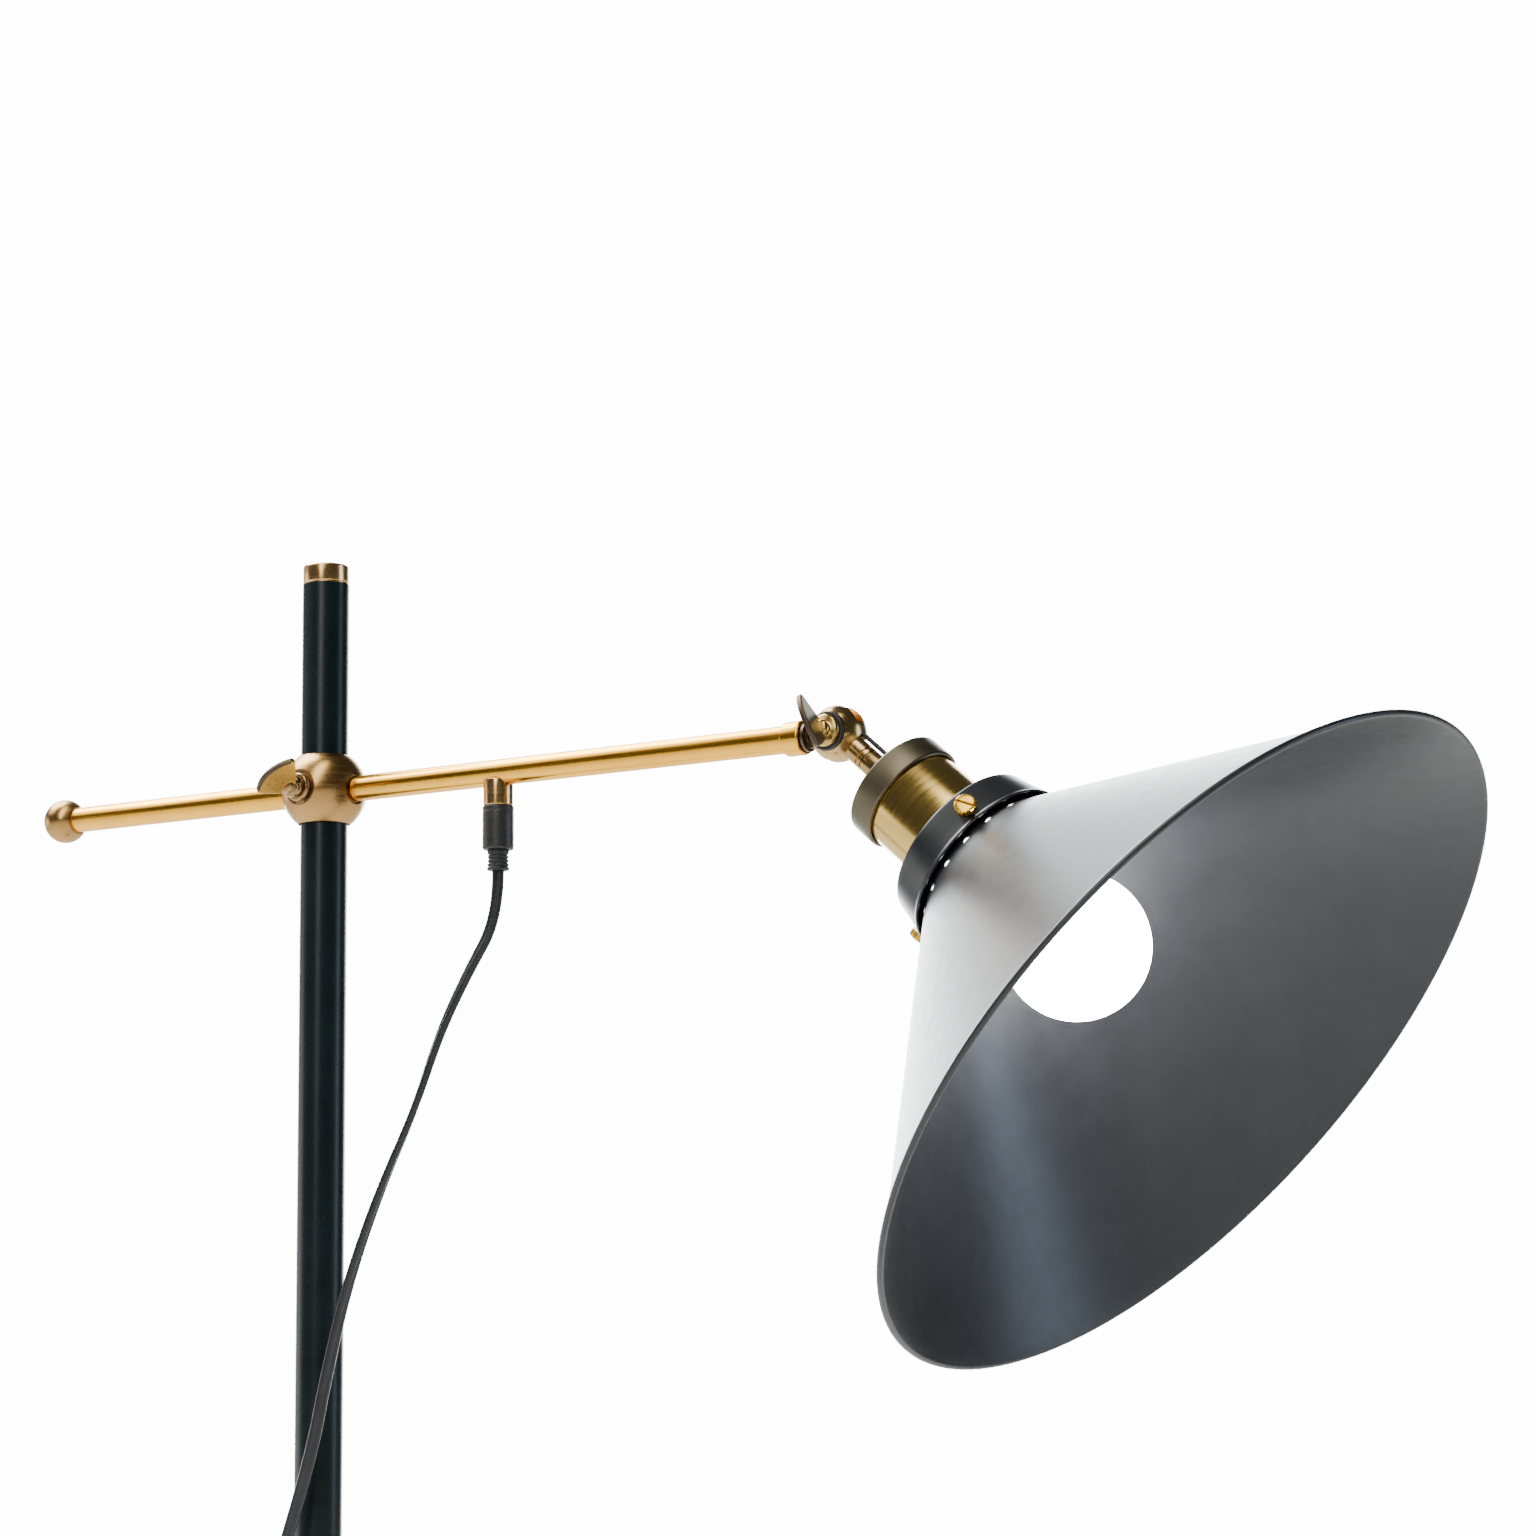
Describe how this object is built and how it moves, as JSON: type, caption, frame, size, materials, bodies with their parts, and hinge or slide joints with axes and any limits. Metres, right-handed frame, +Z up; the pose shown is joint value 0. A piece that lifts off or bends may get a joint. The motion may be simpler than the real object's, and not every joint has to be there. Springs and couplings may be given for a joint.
{
  "type": "floor lamp",
  "caption": "Floor lamp with a height-adjustable swivelling arm on a pole, a tilting cone shade on a knuckle, a round weighted base and a mains lead.",
  "frame": {"origin": "centre of the base's underside, on the pole's axis", "axes": "+Z up the pole, +X along the arm towards the shade, +Y to the left of the arm seen from the handle"},
  "size_m": [0.7078, 0.3242, 1.5],
  "materials": {
    "black_paint": "satin black paint",
    "brass": "satin brass",
    "brass_brushed": "brushed brass",
    "bronze": "matte dark bronze",
    "cord": "satin black PVC",
    "felt": "black felt",
    "fibre": "vulcanised fibre",
    "glass": "frosted white glass",
    "lamp_cap": "satin",
    "nylon": "black nylon",
    "plastic": "fine grained black",
    "porcelain": "glazed ceramic, white",
    "rubber": "soft black",
    "shade_black": "satin black paint",
    "steel": "plain steel",
    "ties": "woven hook-and-loop",
    "wire": "insulated wire"
  },
  "bodies": {
    "stand": {"base_plate": "black_paint", "base_pad": "felt", "base_washer": "steel", "base_nut": "steel", "base_rod": "steel", "foot_insert": "steel", "base_collar": "brass", "lower_pole": "black_paint", "joint_ring": "brass", "joint_spigot": "steel", "upper_pole": "black_paint", "pole_cap": "brass", "cord_drop": "cord", "cord_tail": "cord", "cord_coil": "cord", "cord_tie": "ties", "switch_base": "plastic", "switch_cover": "plastic", "switch_block": "plastic", "plug_relief": "rubber", "plug_body": "plastic", "plug_pins": "steel"},
    "slider": {"pole_bush": "nylon"},
    "arm": {"clamp_ball": "brass", "ball_lip_ring": "brass", "clamp_pad": "brass", "handle_rod": "brass", "handle_knob": "brass", "arm_tube": "brass", "arm_ferrule": "brass", "knuckle_tongue": "steel", "cord_boss": "brass", "cord_gland": "plastic", "strain_relief": "rubber", "arm_lead": "wire", "cord_hanging": "cord"},
    "head": {"knuckle_ball": "brass", "friction_washers": "fibre", "tilt_washer": "black_paint", "tilt_nut": "brass", "neck_nipple": "brass", "head_lead": "wire", "socket_cap": "bronze", "socket_shell": "brass_brushed", "socket_insert": "porcelain", "socket_thread": "brass", "socket_contact": "brass", "shade_gallery": "shade_black", "gallery_ring": "plastic", "gallery_screws": "brass", "shade": "shade_black", "bulb_cap": "lamp_cap", "bulb_contact": "plastic", "bulb_glass": "glass"},
    "clamp_screw": {"clamp_wing_screw": "brass", "clamp_wing_leaf": "brass"},
    "tilt_screw": {"tilt_wing_screw": "brass", "tilt_wing_leaf": "brass"},
    "foot_button": {"switch_button": "plastic"}
  },
  "joints": [
    {"name": "height_slide", "type": "slide", "parent": "stand", "child": "slider", "axis": [0, 0, 1], "range_m": [-0.4, 0.07]},
    {"name": "arm_swivel", "type": "hinge", "parent": "slider", "child": "arm", "pos_m": [0, 0, 1.396], "axis": [0, 0, 1], "range_deg": [-170, 170], "deforming": ["cord_hanging", "cord_drop"]},
    {"name": "head_tilt", "type": "hinge", "parent": "arm", "child": "head", "pos_m": [0.2735, 0, 1.396], "axis": [0, 1, 0], "range_deg": [-86, 46]},
    {"name": "clamp_screw_turn", "type": "hinge", "parent": "arm", "child": "clamp_screw", "pos_m": [0, -0.02, 1.396], "axis": [0, 1, 0], "range_deg": [-170, 170]},
    {"name": "tilt_screw_turn", "type": "hinge", "parent": "head", "child": "tilt_screw", "pos_m": [0.2735, -0.012, 1.396], "axis": [0, 1, 0], "range_deg": [-170, 170]},
    {"name": "foot_switch_press", "type": "slide", "parent": "stand", "child": "foot_button", "axis": [0, 0, 1], "range_m": [-0.003, 0], "stiffness_N_per_m": 1500, "springref_m": 0.0005}
  ]
}
